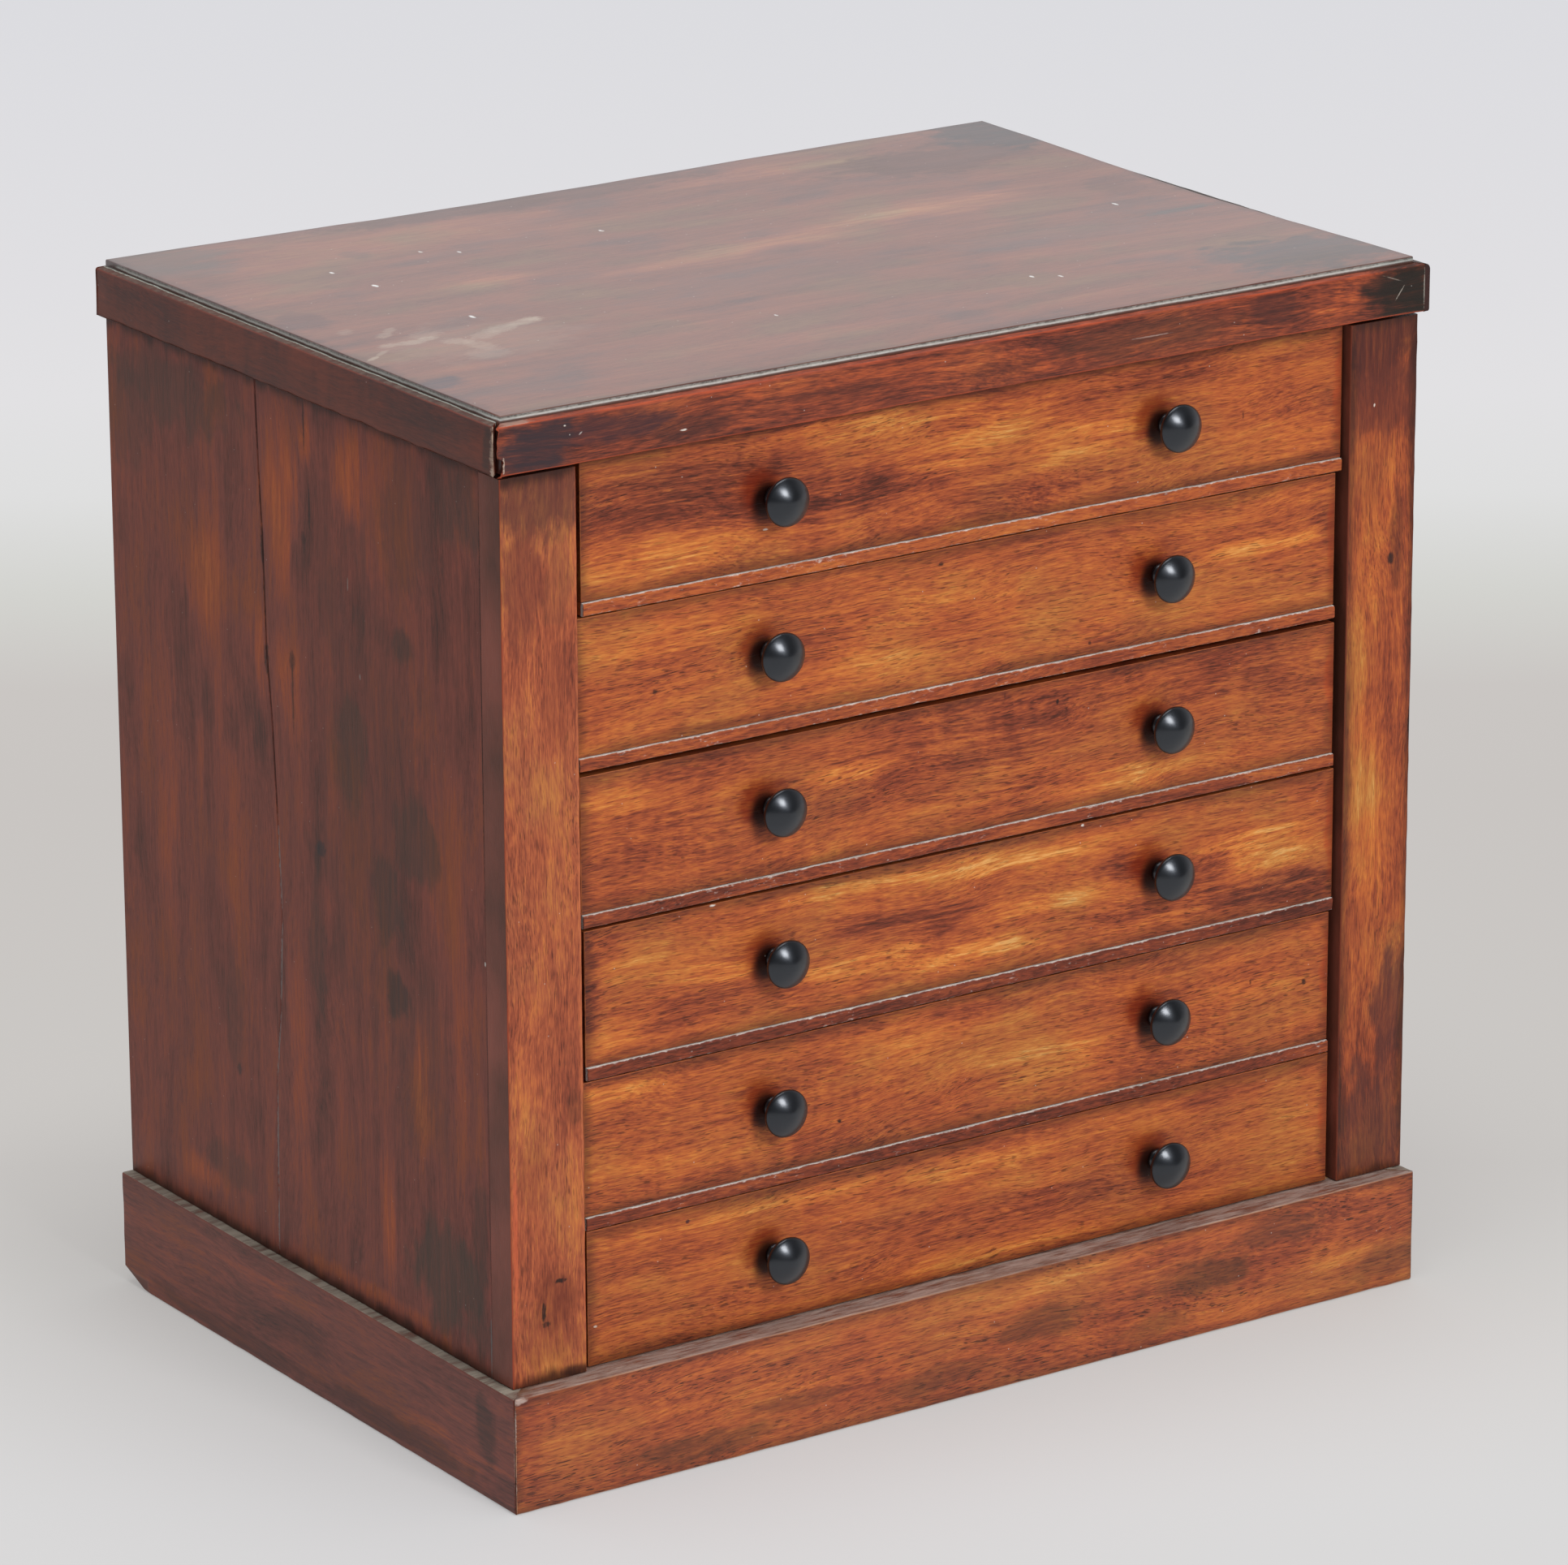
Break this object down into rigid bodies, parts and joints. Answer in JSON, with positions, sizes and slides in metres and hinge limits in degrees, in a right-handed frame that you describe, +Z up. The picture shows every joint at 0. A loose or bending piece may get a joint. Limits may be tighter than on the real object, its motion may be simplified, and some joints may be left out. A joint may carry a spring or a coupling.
{
  "type": "collectors chest",
  "caption": "Table-top mahogany collectors chest of shallow drawers with turned dark knobs, on a plinth under a flat edged top.",
  "frame": {"origin": "on the ground, under the middle of the whole chest with its knobs", "axes": "+X to the right along the front, +Y from the front to the back, +Z up"},
  "size_m": [0.4524, 0.3164, 0.4447],
  "materials": {
    "front mahogany": "old wax polish over streaky mahogany, satin",
    "side mahogany": "old wax polish over dark mahogany, satin",
    "top mahogany": "faded polish with a greyish sheen, satin",
    "edging mahogany": "dark worn polish, satin",
    "ebonised wood": "turned, black and polished",
    "drawer lining": "bare planed wood",
    "inner pine": "bare aged softwood"
  },
  "bodies": {
    "carcass": {"plinth_front": "front mahogany", "plinth_left": "side mahogany", "plinth_right": "side mahogany", "plinth_back": "inner pine", "plinth_glue_blocks": "inner pine", "bottom_board": "inner pine", "left_side": "side mahogany", "right_side": "side mahogany", "left_stile": "front mahogany", "right_stile": "front mahogany", "back_boards": "inner pine", "left_runners": "inner pine", "right_runners": "inner pine", "left_guides": "inner pine", "right_guides": "inner pine", "top_board": "top mahogany", "edging_front": "edging mahogany", "edging_left": "edging mahogany", "edging_right": "edging mahogany"},
    "drawer_1": {"drawer_1_front": "front mahogany", "drawer_1_left_side": "drawer lining", "drawer_1_right_side": "drawer lining", "drawer_1_back": "drawer lining", "drawer_1_bottom": "drawer lining", "drawer_1_knobs": "ebonised wood", "drawer_1_strip": "edging mahogany"},
    "drawer_2": {"drawer_2_front": "front mahogany", "drawer_2_left_side": "drawer lining", "drawer_2_right_side": "drawer lining", "drawer_2_back": "drawer lining", "drawer_2_bottom": "drawer lining", "drawer_2_knobs": "ebonised wood", "drawer_2_strip": "edging mahogany"},
    "drawer_3": {"drawer_3_front": "front mahogany", "drawer_3_left_side": "drawer lining", "drawer_3_right_side": "drawer lining", "drawer_3_back": "drawer lining", "drawer_3_bottom": "drawer lining", "drawer_3_knobs": "ebonised wood", "drawer_3_strip": "edging mahogany"},
    "drawer_4": {"drawer_4_front": "front mahogany", "drawer_4_left_side": "drawer lining", "drawer_4_right_side": "drawer lining", "drawer_4_back": "drawer lining", "drawer_4_bottom": "drawer lining", "drawer_4_knobs": "ebonised wood", "drawer_4_strip": "edging mahogany"},
    "drawer_5": {"drawer_5_front": "front mahogany", "drawer_5_left_side": "drawer lining", "drawer_5_right_side": "drawer lining", "drawer_5_back": "drawer lining", "drawer_5_bottom": "drawer lining", "drawer_5_knobs": "ebonised wood", "drawer_5_strip": "edging mahogany"},
    "drawer_6": {"drawer_6_front": "front mahogany", "drawer_6_left_side": "drawer lining", "drawer_6_right_side": "drawer lining", "drawer_6_back": "drawer lining", "drawer_6_bottom": "drawer lining", "drawer_6_knobs": "ebonised wood"}
  },
  "joints": [
    {"name": "drawer_1_slide", "type": "slide", "parent": "carcass", "child": "drawer_1", "axis": [0, -1, 0], "range_m": [0, 0.24]},
    {"name": "drawer_2_slide", "type": "slide", "parent": "carcass", "child": "drawer_2", "axis": [0, -1, 0], "range_m": [0, 0.24]},
    {"name": "drawer_3_slide", "type": "slide", "parent": "carcass", "child": "drawer_3", "axis": [0, -1, 0], "range_m": [0, 0.24]},
    {"name": "drawer_4_slide", "type": "slide", "parent": "carcass", "child": "drawer_4", "axis": [0, -1, 0], "range_m": [0, 0.24]},
    {"name": "drawer_5_slide", "type": "slide", "parent": "carcass", "child": "drawer_5", "axis": [0, -1, 0], "range_m": [0, 0.24]},
    {"name": "drawer_6_slide", "type": "slide", "parent": "carcass", "child": "drawer_6", "axis": [0, -1, 0], "range_m": [0, 0.24]}
  ]
}
